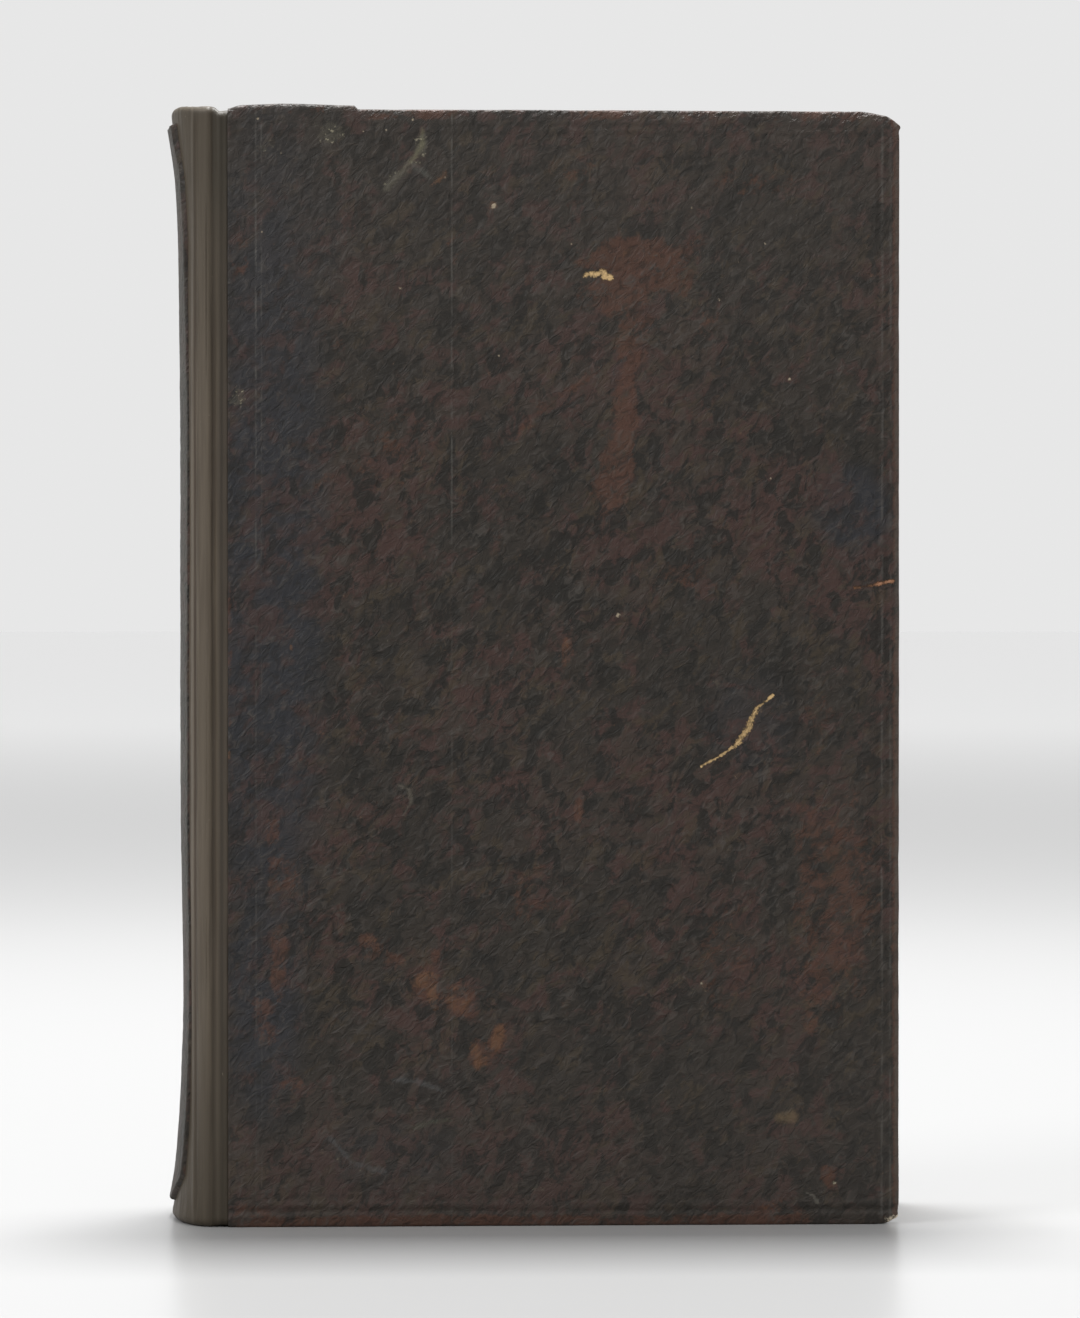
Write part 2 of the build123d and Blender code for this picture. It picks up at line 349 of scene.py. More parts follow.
PALE = (
    (20.8, 195.8, 2.6, 2.4, 0, 0.85), (37, 193.6, 1.6, 2.6, 0, 0.75), (35.5, 189.3, 2.6, 1.8, 0, 0.6),
    (32, 187.3, 2.6, 1.5, 45, 0.6), (4.3, 148.4, 1.5, 2.2, 0, 0.8), (60, 150, 3, 1.2, 40, 0.3),
    (85.5, 42, 4, 5, 20, 0.3), (3.4, 181, 0.8, 9, 0, 0.3), (57.6, 8.2, 4, 2.2, 12, 0.4),
    (111.3, 7.6, 0.7, 0.6, 24, 1), (24, 12, 9, 1.4, -22, 0.3), (9, 192.5, 3, 1.8, 0, 0.4),
    (20.5, 133, 2.2, 1.6, 0, 0.5), (32.5, 105.5, 1, 3, -30, 0.35), (28, 92, 1, 5, -25, 0.3),
    (90, 97, 1.6, 1.2, 0, 0.5), (24, 174, 4, 1.2, 0, 0.35), (7, 181, 1.2, 4, 0, 0.4),
)
COOL = (
    (10, 120, 10, 76, 0, 0.8), (9, 40, 7, 22, 0, 0.75), (115, 128, 7, 8, 0, 0.8), (16, 176, 8, 12, 0, 0.3),
    (30, 12, 14, 7, 0, 0.3), (96, 90, 8, 9, 0, 0.35), (6, 180, 6, 12, 0, 0.5),
)


def stain(x, z, spots):
    """Strength from 0 to about 1 of soft-edged elliptical stains."""
    total = np.zeros_like(x)
    wander_x = 0.9 * rough_noise(at(x, 0, z), 5, 3, 61)
    wander_z = 0.9 * rough_noise(at(x, 0, z), 5, 3, 67)
    for spot_x, spot_z, half_x, half_z, lean, strength in spots:
        turn = math.radians(lean)
        size = min(1.0, min(half_x, half_z) / 2)
        off_x = x + size * wander_x - spot_x
        off_z = z + size * wander_z - spot_z
        u = (off_x * math.cos(turn) + off_z * math.sin(turn)) / half_x
        v = (-off_x * math.sin(turn) + off_z * math.cos(turn)) / half_z
        total = np.maximum(total, strength * (1 - ramp(np.hypot(u, v), 0.55, 1.35)))
    return total


def rubbed_rim_and_highlight(x):
    """Rubbing along the fore-edge of a cover, partly a painted highlight where its rounded edge catches
    light.
    """
    return 0.7 * ramp(x, REACH - 1.1, REACH - 0.5)


def front_marks(x, z):
    """Attributes that the old leather's material reads on the front cover."""
    here = at(x, 0, z)
    tail = ramp(-z, -3.0, -1.2) * np.clip(0.62 + 0.8 * rough_noise(here, 16, 3, 71), 0, 0.95)
    tail = tail * (1 - 0.8 * ramp(x, 103, 108))
    fore = ramp(x, REACH - 1.6, REACH - 0.9) * np.clip(0.85 + 0.6 * noise(here, 16, 72), 0, 1)
    head = ramp(z, HEIGHT - 2.6, HEIGHT - 1.2) * np.clip(0.2 + 0.8 * noise(here, 10, 73), 0, 1)
    return {
        "rust": np.maximum.reduce([stain(x, z, RUST), tail, fore, 0.8 * head]),
        "orange": stain(x, z, ORANGE),
        "pale": stain(x, z, PALE),
        "cool": stain(x, z, COOL),
        "rim": rubbed_rim_and_highlight(x),
    }


def rear_marks(x, z):
    """The same attributes for the rear cover, which has only broad random stains."""
    here = at(x, 0, z)
    patches = 0.55 * ramp(rough_noise(here, 30, 3, 171), 0.1, 0.5)
    worn = ramp(-from_edge(x, z), -3.4, -1.0) * np.clip(0.5 + 0.7 * noise(here, 14, 173), 0, 1)
    return {
        "rust": np.maximum(patches, 0.8 * worn),
        "orange": 0.5 * ramp(rough_noise(here, 12, 2, 175), 0.45, 0.7),
        "pale": 0.5 * ramp(rough_noise(here, 16, 2, 177), 0.5, 0.8),
        "cool": 0.6 * ramp(noise(here, 60, 179), 0.0, 0.6),
        "rim": rubbed_rim_and_highlight(x),
    }


# ---- old leather of the covers

EDGE_ROUND = 0.6                        # outside edge of a cover
INNER_ROUND = 0.5
PLAN_CORNER = 1.9                       # rounding of the fore-edge corners, seen from the front
TURN_IN = 14.5
TURN_IN_LIP = 0.4
LEATHER = 0.7
EDGE_ZONE = 5.0                         # how far in the face moves with its edges
SHIFT_FADE = 4.0                        # how far in the turn-in moves with them
LIFT_FADE = 0.8                         # depth at which the face's relief has died out
TURN_IN_MARKS = 0.3                     # strength of the stains on the turn-in


def rounded_plan(x, z):
    """Draw the grid in at the two fore-edge corners, so that they are rounded."""
    for end, sign in ((HEIGHT - EDGE_ROUND, 1), (EDGE_ROUND, -1)):
        a = np.clip((x - (REACH - EDGE_ROUND - PLAN_CORNER)) / PLAN_CORNER, 0, 1)
        b = np.clip((z - (end - sign * PLAN_CORNER)) * sign / PLAN_CORNER, 0, 1)
        x = x + PLAN_CORNER * (a * np.sqrt(1 - b * b / 2) - a)
        z = z + sign * PLAN_CORNER * (b * np.sqrt(1 - a * a / 2) - b)
    return x, z


def outward(x, z):
    """Directions out of a line of places that runs along the head, fore-edge and tail."""
    run_x, run_z = np.gradient(x), np.gradient(z)
    size = np.hypot(run_x, run_z)
    out_x, out_z = -run_z / size, run_x / size
    out_x[[0, -1]] = 0
    out_z[[0, -1]] = 1, -1
    return out_x, out_z


def moved_face(x, z, edge_shift):
    """The face's places, moved along with its edges."""
    ones, zeros = np.ones_like(x), np.zeros_like(x)
    to_fore = ramp(x, REACH - EDGE_ZONE, REACH) * edge_shift(x, z, ones, zeros)
    to_head = ramp(z, HEIGHT - EDGE_ZONE, HEIGHT) * edge_shift(x, z, zeros, ones)
    to_tail = ramp(-z, -EDGE_ZONE, 0) * edge_shift(x, z, zeros, -ones)
    return x + to_fore, z + to_head - to_tail


def wrap_steps():
    """Steps round the edge of a cover, each as (distance out from the face's rim, depth)."""
    quarter = np.radians([25, 50, 70, 90])
    steps = [(EDGE_ROUND * math.sin(t), EDGE_ROUND * (1 - math.cos(t))) for t in quarter]
    steps += [(EDGE_ROUND, depth) for depth in (1.2, 1.9, COVER_THICK - INNER_ROUND)]
    flat = EDGE_ROUND - INNER_ROUND
    steps += [
        (flat + INNER_ROUND * math.cos(t), COVER_THICK - INNER_ROUND * (1 - math.sin(t))) for t in quarter[1:]
    ]
    steps += [(flat - step, COVER_THICK) for step in (0.8, 2.2, 5, 9, TURN_IN)]
    return steps + [(flat - TURN_IN, COVER_THICK - TURN_IN_LIP)]


def wrap_ring(rim, shift, lift, out, depth):
    """One line of points round a cover's edges; rim holds its places and outward directions."""
    x, z, out_x, out_z = rim
    inset = EDGE_ROUND - out
    shift = shift * max(0.0, 1 - max(0.0, inset) / SHIFT_FADE)
    ring_x = np.minimum(x + out_x * out, REACH - inset) + out_x * shift
    ring_z = np.clip(z + out_z * out, inset, HEIGHT - inset) + out_z * shift
    bump = 0.05 * rough_noise(at(ring_x, depth, ring_z), 1.6, 2, 51)
    fade = max(0.0, 1 - depth / LIFT_FADE)
    return at(ring_x, -(FACE - depth + lift * fade + bump * (1 - fade)), ring_z)


def make_cover_leather(name, side, fine, coarse, relief, edge_shift, marks):
    """Old leather of one cover: its face, three wrapped edges and the turn-ins inside."""
    xs = stations(OLD_EDGE, REACH - EDGE_ROUND, fine, coarse, 4.0)
    zs = stations(EDGE_ROUND, HEIGHT - EDGE_ROUND, fine, coarse, 4.0)
    x, z = rounded_plan(*np.meshgrid(xs, zs, indexing="ij"))
    index = np.arange(x.size).reshape(x.shape)
    rim = np.concatenate([index[:, -1], index[-1, -2::-1], index[-2::-1, 0]])
    rim_place = x.ravel()[rim], z.ravel()[rim]
    rim_place += outward(*rim_place)
    rim_shift = edge_shift(*rim_place)

    inward = np.clip(from_edge(x, z) - EDGE_ROUND, 0, None)
    lift = relief(x, z) - 0.25 * np.exp(-inward / 1.2)
    face_x, face_z = moved_face(x, z, edge_shift)
    face = at(face_x, -(FACE + lift), face_z)
    values = {key: [value.ravel()] for key, value in marks(x, z).items()}
    rim_lift = lift.ravel()[rim]

    points = [face.reshape(-1, 3)]
    for out, depth in wrap_steps():
        points.append(wrap_ring(rim_place, rim_shift, rim_lift, out, depth))
        strength = 1 if depth < COVER_THICK - 0.1 else TURN_IN_MARKS
        for layers in values.values():
            layers.append(layers[0][rim] * strength)

    rings = x.size + np.arange((len(points) - 1) * len(rim)).reshape(-1, len(rim))
    chain = np.concatenate([rim[None], rings])
    lip = face[0] + np.array([-0.05, LEATHER, 0.0])
    lip_index = rings[-1, -1] + 1 + np.arange(len(lip))
    points.append(lip)
    for layers in values.values():
        layers.append(layers[0][index[0]])

    faces = [grid_faces(*x.shape, flip=True)]
    faces += [strip_faces(inner, outer) for inner, outer in zip(chain, chain[1:])]
    faces = np.concatenate(faces + [strip_faces(index[0], lip_index)])
    everything = np.concatenate(points)
    everything[:, 1] *= -side
    values = {key: np.concatenate(layers) for key, layers in values.items()}
    return make_piece(name, everything, faces if side < 0 else faces[:, ::-1], values, merge=0.004)


# ---- newer leather of the spine and joints

FLARE_HEIGHT = 26.0                     # of the swelling towards each cap
CROWN_TAIL = 8.3                        # how far the caps and the middle stand behind the fold
CROWN_MIDDLE = 6.15
CAP_ROUND = 1.45                        # half the thickness of the folded caps
CAP_INSIDE = 6.0                        # turned-in leather inside the caps
SKIN_END = 1.3                          # fold line to where the joint's own strip starts
GROOVE_DEPTH = 0.5                      # of the pressed groove along the fold line
GROOVE_WIDTH = 0.55
BOARD_EASE = 0.006                      # share of the step in height, spine to board, that is left out


def crown_at(z):
    """How far the newer leather's crown stands behind the fold line."""
    from_head = np.clip(1 - (SPINE_TOP - z) / FLARE_HEIGHT, 0, 1)
    from_tail = np.clip(1 - z / FLARE_HEIGHT, 0, 1)
    swell = from_head ** 2 + from_tail ** 2.4
    return CROWN_MIDDLE - 0.5 * bell(z - 42, 20) + (CROWN_TAIL - CROWN_MIDDLE) * swell


def cap_path():
    """Steps up the spine as (distance in from the outside, height), rolled over at both caps."""
    turn = np.radians(np.linspace(0, 180, 13))
    tail = [(2 * CAP_ROUND, CAP_ROUND + CAP_INSIDE), (2 * CAP_ROUND, CAP_ROUND + CAP_INSIDE / 2)]
    tail += [(CAP_ROUND * (1 - math.cos(t)), CAP_ROUND * (1 - math.sin(t))) for t in turn[:0:-1]]
    body = [(0.0, z) for z in stations(CAP_ROUND, SPINE_TOP - CAP_ROUND, 0.5, 0.9, 12.0)]
    head = [(inset, SPINE_TOP - height) for inset, height in reversed(tail)]
    return np.array(tail + body + head)


def spine_bands(points):
    """Height of the ridge and crease that run along the front of the spine, near the old panel."""
    x = points[..., 0] + 0.25 * noise(points * np.array([0, 0, 1.0]), 45, 231)
    from_end = np.minimum(points[..., 2], SPINE_TOP - points[..., 2])
    return (0.14 * bell(x + 3.75, 0.28) - 0.16 * bell(x + 3.3, 0.22)) * ramp(from_end, 0.8, 4.0)


def new_leather_relief(points):
    """Fine lengthwise ridges and pores of the newer leather."""
    ridges = 0.055 * rough_noise(points * np.array([1.0, 1.0, 0.045]), 0.9, 2, 201)
    broad = 0.06 * noise(points * np.array([1, 1, 0.25]), 4, 203)
    return ridges + broad + 0.012 * noise(points, 0.5, 205) + spine_bands(points)


def cap_dip(x, z):
    """The caps lie lower where they meet the boards, and fall away towards the crown."""
    close = bell(x - 1.3, 1.3)
    behind = ramp(-x, 2.0, 8.0)
    head = -0.15 * close + 0.8 * behind
    tail = 0.1 * close + 0.1 * behind
    return head * ramp(z, HEIGHT - 3, HEIGHT) + tail * ramp(-z, -3, 0)


def spine_profile(angle_share, inset, z):
    """A point of the spine's outside: angle_share from -1 at the front joint to 1 at the rear."""
    crown = crown_at(z) - inset
    angle = angle_share * np.arccos(np.clip(SKIN_END / crown, -1, 1))
    return at(-crown * np.cos(angle), (SPINE_HALF - inset) * np.sin(angle), z)


def grained(grid):
    """A sheet of the newer leather with its relief, dipping at the caps."""
    grid = grid + grid_normals(grid) * new_leather_relief(grid)[..., None]
    grid[..., 2] += cap_dip(grid[..., 0], grid[..., 2])
    return grid


def make_spine_skin():
    """The newer leather over the spine, turned in at both caps."""
    path = cap_path()
    inset, share = np.meshgrid(path[:, 0], np.linspace(-1, 1, 121), indexing="ij")
    grid = grained(spine_profile(share, inset, np.broadcast_to(path[:, 1:], inset.shape)))
    return make_piece("new_spine_leather", grid, grid_faces(*inset.shape))


def make_joint_strip(name, side):
    """The newer leather across one joint, from the spine's side to under the old leather."""
    path = cap_path()
    xs = np.concatenate([np.linspace(-SKIN_END, 1.6, 21), np.linspace(1.6, OLD_EDGE + 0.9, 8)[1:]])
    inset, x = np.meshgrid(path[:, 0], xs, indexing="ij")
    z = np.broadcast_to(path[:, 1:], inset.shape)
    crown = crown_at(z) - inset
    near_spine = np.sqrt(np.clip(1 - (np.minimum(x, 0) / crown) ** 2, 0, 1)) * (SPINE_HALF - inset)
    board_edge = 0.22 * ramp(x, 0.5, 1.0) - 0.12 * bell(x - 1.75, 0.3)
    tuck = 0.4 * ramp(x, OLD_EDGE - 0.02, OLD_EDGE + 0.35)
    softer = 0.4 + 0.6 * ramp(z, 8, 60)
    pressed = (board_edge - GROOVE_DEPTH * bell(x, GROOVE_WIDTH)) * softer - tuck
    y = near_spine + pressed * (inset < CAP_ROUND)
    z_on_board = HEIGHT / 2 + (z - SPINE_TOP / 2) * (HEIGHT - 0.3) / SPINE_TOP
    on_board = ramp(x, 0, 1.2)
    on_board = on_board * (1 - BOARD_EASE * on_board)
    grid = at(x, -y, z + (z_on_board - z) * on_board)
    grid[:, 0] = spine_profile(-1.0, path[:, 0], path[:, 1])
    grid = grained(grid)
    grid[..., 1] *= -side
    return make_piece(name, grid, grid_faces(*inset.shape, flip=side > 0))


# ---- old spine panel

PANEL_THICK = 0.75
PANEL_HALF = PANEL_HIGH[1]
PANEL_SUNK = -0.25                      # depth of the panel's outer rim, inside the newer leather
SKIRT = 0.05


def skirted(low, high, fine, coarse, margin):
    """Stations with one more just outside each end."""
    return np.concatenate([[low - SKIRT], stations(low, high, fine, coarse, margin), [high + SKIRT]])


def make_spine_panel():
    """The worn old spine leather, laid over the crown of the newer."""
    ys = skirted(-PANEL_HALF, PANEL_HALF, 0.12, 0.45, 1.2)
    zs = skirted(PANEL_LOW[2], PANEL_HIGH[2], 0.25, 0.8, 5.0)
    z, y = np.meshgrid(zs, ys, indexing="ij")
    here = at(0, y, z)
    end_sway = 0.35 * np.abs(noise(at(0, y, 0), 2.5, 221))
    side_sway = 0.35 * rough_noise(at(0, 0, z), 18, 3, 223)
    from_tail = z - PANEL_LOW[2] - 0.1 - end_sway
    from_head = PANEL_HIGH[2] - z - 0.1 - end_sway
    cut_head = 1.3 * ramp(-from_head, -50, 0) + 1.8 * ramp(-from_head, -12, 0)
    cut_tail = 0.8 * ramp(-from_tail, -25, 0) + 5.6 * ramp(-from_tail, -6.0, 0.5)
    from_side = PANEL_HALF - 0.05 - np.abs(y) + side_sway - cut_head - cut_tail
    inside = np.minimum(np.minimum(from_tail, from_head), from_side)
    thinner = 1 - 0.5 * ramp(z, 12, 40) * (1 - ramp(z, 140, 185))
    curl = 0.25 * ramp(-from_head, -9, 0) + 0.2 * ramp(-from_tail, -7, 0)
    surface = 0.05 * rough_noise(here, 5, 2, 225) + 0.05 * rough_noise(here, 1.2, 2, 227)
    height = PANEL_SUNK + ramp(inside, -0.12, 0.28) * (PANEL_THICK * thinner + curl + surface - PANEL_SUNK)
    crown = crown_at(z)
    cos_angle = np.sqrt(1 - (y / SPINE_HALF) ** 2)
    normal = unit(at(-cos_angle / crown, y / SPINE_HALF ** 2, 0))
    grid = at(-crown * cos_angle, y, z) + normal * height[..., None]
    # painted shade along the gap at the panel's edge, partly the edge's own dark colour: no rubbing there, a
    # reddish tint instead
    slit_width = 0.3 + 0.5 * ramp(-from_head, -30, -4)
    slit_shade = ramp(-inside, -slit_width, -slit_width * 0.4)
    # the panel is lightened and cooled, partly by rubbing and partly as a painted sheen, with less of it
    # towards the tail
    rub_and_highlight = (1 - slit_shade) * (0.75 + 0.25 * noise(here, 6, 229)) * (0.3 + 0.7 * ramp(z, 8, 75))
    marks = {"rust": 0.3 * slit_shade, "orange": z * 0, "pale": z * 0, "cool": 0.15 * (1 - slit_shade), "rim": rub_and_highlight}
    return make_piece("old_spine_leather", grid, grid_faces(*z.shape, flip=True), marks)


# ---- pages and endpapers

LEAVES = 210                            # leaf edges drawn across the text block
GATHERINGS = 22
FORE_HOLLOW = 4.0
SHOULDER = 2.3


def between(high, low, count):
    """Rows of points from low to high."""
    return np.stack([high * share + low * (1 - share) for share in np.linspace(0, 1, count)])


def make_pages():
    """The text block as a stack of leaves: head, tail, fore-edge, spine and both sides."""
    half = BLOCK_HIGH[1] - SHOULDER
    layer = np.linspace(-1, 1, LEAVES)
    gathering = at(0, np.floor((layer + 1) * GATHERINGS / 2), 0)
    leaf = at(0, layer * 400, 0)
    leaf_out = 0.1 * noise(gathering, 1.0, 301) + 0.07 * noise(leaf, 1.0, 303)
    leaf_up = 0.05 * noise(gathering, 1.0, 305) + 0.05 * noise(leaf, 1.0, 307)
    fore = BLOCK_HIGH[0] - FORE_HOLLOW * (1 - layer ** 2) + leaf_out - 0.1
    spine = BLOCK_LOW[0] * np.sqrt(np.clip(1 - layer ** 2, 0, 1)) * 0.985

    def leaf_ends(z):
        """The ends of all leaves at one of the block's ends, from spine to fore-edge."""
        shares = np.concatenate([np.linspace(0, 0.08, 10)[:-1], np.linspace(0.08, 1, 26)])[:, None]
        x = spine + (fore - spine) * shares
        flare = 1 - ramp(x, -0.4, 1.4)
        return at(x, layer * (half + SHOULDER * flare * 0.98), z)

    top = leaf_ends(BLOCK_HIGH[2] + leaf_up - 0.08)
    low = leaf_ends(BLOCK_LOW[2] - leaf_up + 0.08)
    steps = 24
    fore_wall = between(top[-1], low[-1], steps)
    ripple = 0.06 * noise(fore_wall * np.array([0, 9, 0.12]), 1.0, 311)
    sway = 0.08 * noise(at(0, 0, np.linspace(0, 9, steps)), 1, 309)
    fore_wall[1:-1, :, 0] += (ripple + sway[:, None])[1:-1]
    walls = (
        (top, False), (low, True), (fore_wall, False), (between(top[0], low[0], steps), True),
        (between(top[:, 0], low[:, 0], steps), False), (between(top[:, -1], low[:, -1], steps), True),
    )
    faces, first = [], 0
    for grid, flip in walls:
        rows, columns = grid.shape[:2]
        faces.append(grid_faces(rows, columns, first, flip))
        first += rows * columns
    points = np.concatenate([grid.reshape(-1, 3) for grid, flip in walls])
    shade = np.interp(points[:, 1], layer * half, 0.5 + 0.5 * noise(leaf, 1.0, 313))
    return make_piece("pages", points, np.concatenate(faces), {"leaf": shade}, merge=0.003)


def closed_sheet(name, first, second, flip):
    """A thin closed sheet between two grids of points."""
    rows, columns = first.shape[:2]
    count = rows * columns
    index = np.arange(count).reshape(rows, columns)
    around = np.concatenate([index[0, :-1], index[:-1, -1], index[-1, :0:-1], index[::-1, 0]])
    walls = strip_faces(around, around + count)[:, ::-1]
    faces = np.concatenate([grid_faces(rows, columns), grid_faces(rows, columns, count, flip=True), walls])
    return make_piece(name, np.stack([first, second]), faces[:, ::-1] if flip else faces)


def make_endpaper(name, node, side, relief):
    """A flyleaf or pastedown: relief stands out towards the middle of the book."""
    low, high = cad_box_mm(node)
    margin = 0.15
    xs = stations(low[0] + margin / 3, high[0] - margin, 0.5, 1.9, 4.0)
    zs = stations(low[2] + margin, high[2] - margin, 0.5, 2.2, 4.0)
    x, z = np.meshgrid(xs, zs, indexing="ij")
    x = x + 0.12 * rough_noise(at(x, 0, z), 5, 3, 401) * ramp(x, high[0] - 2, high[0])
    near, far = sorted((abs(low[1]), abs(high[1])))
    return closed_sheet(name, at(x, side * (near - relief(x, z)), z), at(x, side * far, z), flip=side < 0)


def pastedown_relief(x, z):
    """The turned-in leather shows through the paper as a low step with mitred corners."""
    step = 0.1 * ramp(-from_edge(x, z), -TURN_IN - 0.7, -TURN_IN + 0.2)
    mitre = np.abs((REACH - x) - np.minimum(z, HEIGHT - z)) / math.sqrt(2)
    ridge = 0.08 * bell(mitre, 0.6) * (from_edge(x, z) < TURN_IN)
    return step + ridge + 0.03 * rough_noise(at(x, 0, z), 9, 3, 403)


def flyleaf_relief(x, z):
    """A little cockling, flat near the hinge."""
    return -0.06 + 0.06 * ramp(x, 4, 20) * noise(at(x, 0, z), 24, 405)


FOLD_PAPER = 0.12                       # thickness of the folded paper
FOLD_PATH = np.array([                  # (x, y) round the fold, from the flyleaf to the pastedown
    (0.62, 12.42), (0.52, 12.9), (0.44, 13.6), (0.42, 14.4), (0.42, 14.85), (0.5, 15.05), (0.6, 15.12),
    (0.7, 15.12), (0.8, 15.05), (0.88, 14.85), (0.88, 14.3), (0.92, 13.6), (1.0, 13.1), (1.3, 12.92),
])


def make_endpaper_fold(name, side):
    """The fold of the endpapers, tucked into the joint between shoulder and board."""
    run = unit(np.gradient(FOLD_PATH, axis=0))
    zs = stations(PASTE_LOW[2] + 0.3, PASTE_HIGH[2] - 0.3, 0.5, 2.2, 4.0)
    inner = at(FOLD_PATH[:, :1], side * FOLD_PATH[:, 1:], zs)
    outer = inner + FOLD_PAPER * at(-run[:, 1:], side * run[:, :1], 0)
    return closed_sheet(name, inner, outer, flip=side > 0)


# ---- endbands

THREAD_PITCH = 0.42
TURNS_OF_COLOUR = 3                     # turns of one thread before the other takes over


def make_endband(name, low, high):
    """A sewn band: thread wound round a core that follows the curve of the spine."""
    core = (high[2] - low[2]) / 2 * 0.95
    crown = -low[0] - core
    half = high[1] - core
    end = math.acos(min(0.99, 1.6 / crown))
    angle = np.linspace(-end, end, 261)
    centre = at(-crown * np.cos(angle), half * np.sin(angle), (low[2] + high[2]) / 2)
    length = np.concatenate([[0], np.cumsum(np.linalg.norm(np.diff(centre, axis=0), axis=1))])
    out = unit(at(-np.cos(angle) / crown, np.sin(angle) / half, 0))
    turn = np.linspace(0, 2 * math.pi, 17)
    wraps = length[:, None] / THREAD_PITCH + turn / (2 * math.pi)
    radius = core * (0.93 + 0.07 * np.abs(np.sin(math.pi * wraps)))
    ring = out[:, None] * np.cos(turn)[:, None] + np.array([0, 0, 1.0]) * np.sin(turn)[:, None]
    grid = centre[:, None] + radius[..., None] * ring
    rows, columns = wraps.shape
    faces = grid_faces(rows, columns).tolist()
    hub = rows * columns
    for step in range(columns - 1):
        last = hub - columns + step
        faces += [[step + 1, step, hub], [last, last + 1, hub + 1]]
    thread = np.mod(np.floor(wraps / TURNS_OF_COLOUR), 2)
    points = np.concatenate([grid.reshape(-1, 3), centre[[0, -1]]])
    return make_piece(name, points, faces, {"thread": np.concatenate([thread.ravel(), [0, 0]])})


# ---- materials

class Shader:
    """A material's node tree, built one node at a time."""

    def __init__(self, name):
        self.material = bpy.data.materials.new(name)
        self.material.use_nodes = True
        self.tree = self.material.node_tree
        self.tree.nodes.clear()
        self.output = self.tree.nodes.new("ShaderNodeOutputMaterial")
        self.surface = self.tree.nodes.new("ShaderNodeBsdfPrincipled")
        self.tree.links.new(self.surface.outputs[0], self.output.inputs["Surface"])

    def put(self, socket, value):
        if isinstance(value, bpy.types.NodeSocket):
            self.tree.links.new(value, socket)
        elif socket.type == "RGBA":
            socket.default_value = (*value, 1.0)
        else:
            socket.default_value = value

    def node(self, kind, inputs=None, **settings):
        made = self.tree.nodes.new(kind)
        for key, value in settings.items():
            setattr(made, key, value)
        for key, value in (inputs or {}).items():
            self.put(made.inputs[key], value)
        return made

    def finish(self, colour, roughness, height=None, specular=0.5):
        """Set the surface; height is its fine relief in millimetres."""
        self.put(self.surface.inputs["Base Color"], colour)
        self.put(self.surface.inputs["Roughness"], roughness)
        self.put(self.surface.inputs["Specular IOR Level"], specular)
        if height:
            bump = self.node("ShaderNodeBump", {"Strength": 1.0, "Distance": MM, "Height": height})
            self.put(self.surface.inputs["Normal"], bump.outputs[0])
        return self.material

    def attribute(self, name, output="Fac"):
        return self.node("ShaderNodeAttribute", attribute_name=name).outputs[output]

    @functools.cached_property
    def rest(self):
        """The resting place, in millimetres from the fold line."""
        return self.attribute("rest", "Vector")

    def rest_axes(self):
        return self.node("ShaderNodeSeparateXYZ", {0: self.rest}).outputs

    def math(self, operation, first, second=0.0, clamp=False):
        made = self.node("ShaderNodeMath", {0: first, 1: second}, operation=operation, use_clamp=clamp)
        return made.outputs[0]

    def times(self, first, second):
        return self.math("MULTIPLY", first, second)

    def plus(self, first, second):
        return self.math("ADD", first, second)

    def swayed(self, value, by, reach):
        """A value pushed up and down by noise, half the reach each way."""
        return self.plus(value, self.times(self.math("SUBTRACT", by, 0.5), reach))

    def off(self, value, middle):
        """Distance of a value from a middle, on either side."""
        return self.math("ABSOLUTE", self.math("SUBTRACT", value, middle))

    def vector(self, operation, first, second):
        return self.node("ShaderNodeVectorMath", {0: first, 1: second}, operation=operation).outputs

    def scaled(self, size, turn=0.0):
        """The resting place turned about Y by turn degrees, then divided by size."""
        inputs = {"Vector": self.rest, "Axis": (0, 1, 0), "Angle": math.radians(turn)}
        turned = self.node("ShaderNodeVectorRotate", inputs, rotation_type="AXIS_ANGLE").outputs[0]
        return self.vector("MULTIPLY", turned, tuple(1 / part for part in size))[0]

    def noise(self, vector, detail, roughness, distortion=0.0):
        made = self.node("ShaderNodeTexNoise", {"Vector": vector, "Scale": 1.0, "Detail": detail})
        self.put(made.inputs["Roughness"], roughness)
        self.put(made.inputs["Distortion"], distortion)
        return made.outputs[0]

    def even_noise(self, size, detail, roughness):
        """Noise of one size in all directions."""
        return self.noise(self.scaled((size, size, size)), detail, roughness)

    def range(self, value, low, high, to_low=0.0, to_high=1.0):
        inputs = {0: value, 1: low, 2: high, 3: to_low, 4: to_high}
        return self.node("ShaderNodeMapRange", inputs, interpolation_type="SMOOTHSTEP").outputs[0]

    def mix(self, share, first, second):
        inputs = {0: share, 6: first, 7: second}
        return self.node("ShaderNodeMix", inputs, data_type="RGBA", clamp_factor=True).outputs[2]

    def tinted(self, colour, value, low, high, share, tint):
        """Mix in up to that share of a tint where the value rises from low to high."""
        return self.mix(self.range(value, low, high, 0.0, share), colour, tint)

    def near(self, colour, gap, reach, share, tint):
        """Mix in a tint where the gap is under the reach, which is (full, none)."""
        return self.mix(self.range(gap, *reach, share, 0.0), colour, tint)

    def polyline(self, here, line):
        """Distance in millimetres from a line of (x, z) points on the cover."""
        nearest = None
        for (x0, z0), (x1, z1) in zip(line, line[1:]):
            run = (x1 - x0, 0.0, z1 - z0)
            offset = self.vector("SUBTRACT", here, (x0, 0.0, z0))[0]
            along = self.vector("DOT_PRODUCT", offset, run)[1]
            share = self.math("DIVIDE", along, run[0] ** 2 + run[2] ** 2, clamp=True)
            foot = self.node("ShaderNodeVectorMath", {0: run, "Scale": share}, operation="SCALE").outputs[0]
            gap = self.vector("DISTANCE", offset, foot)[1]
            nearest = gap if nearest is None else self.math("MINIMUM", nearest, gap)
        return nearest


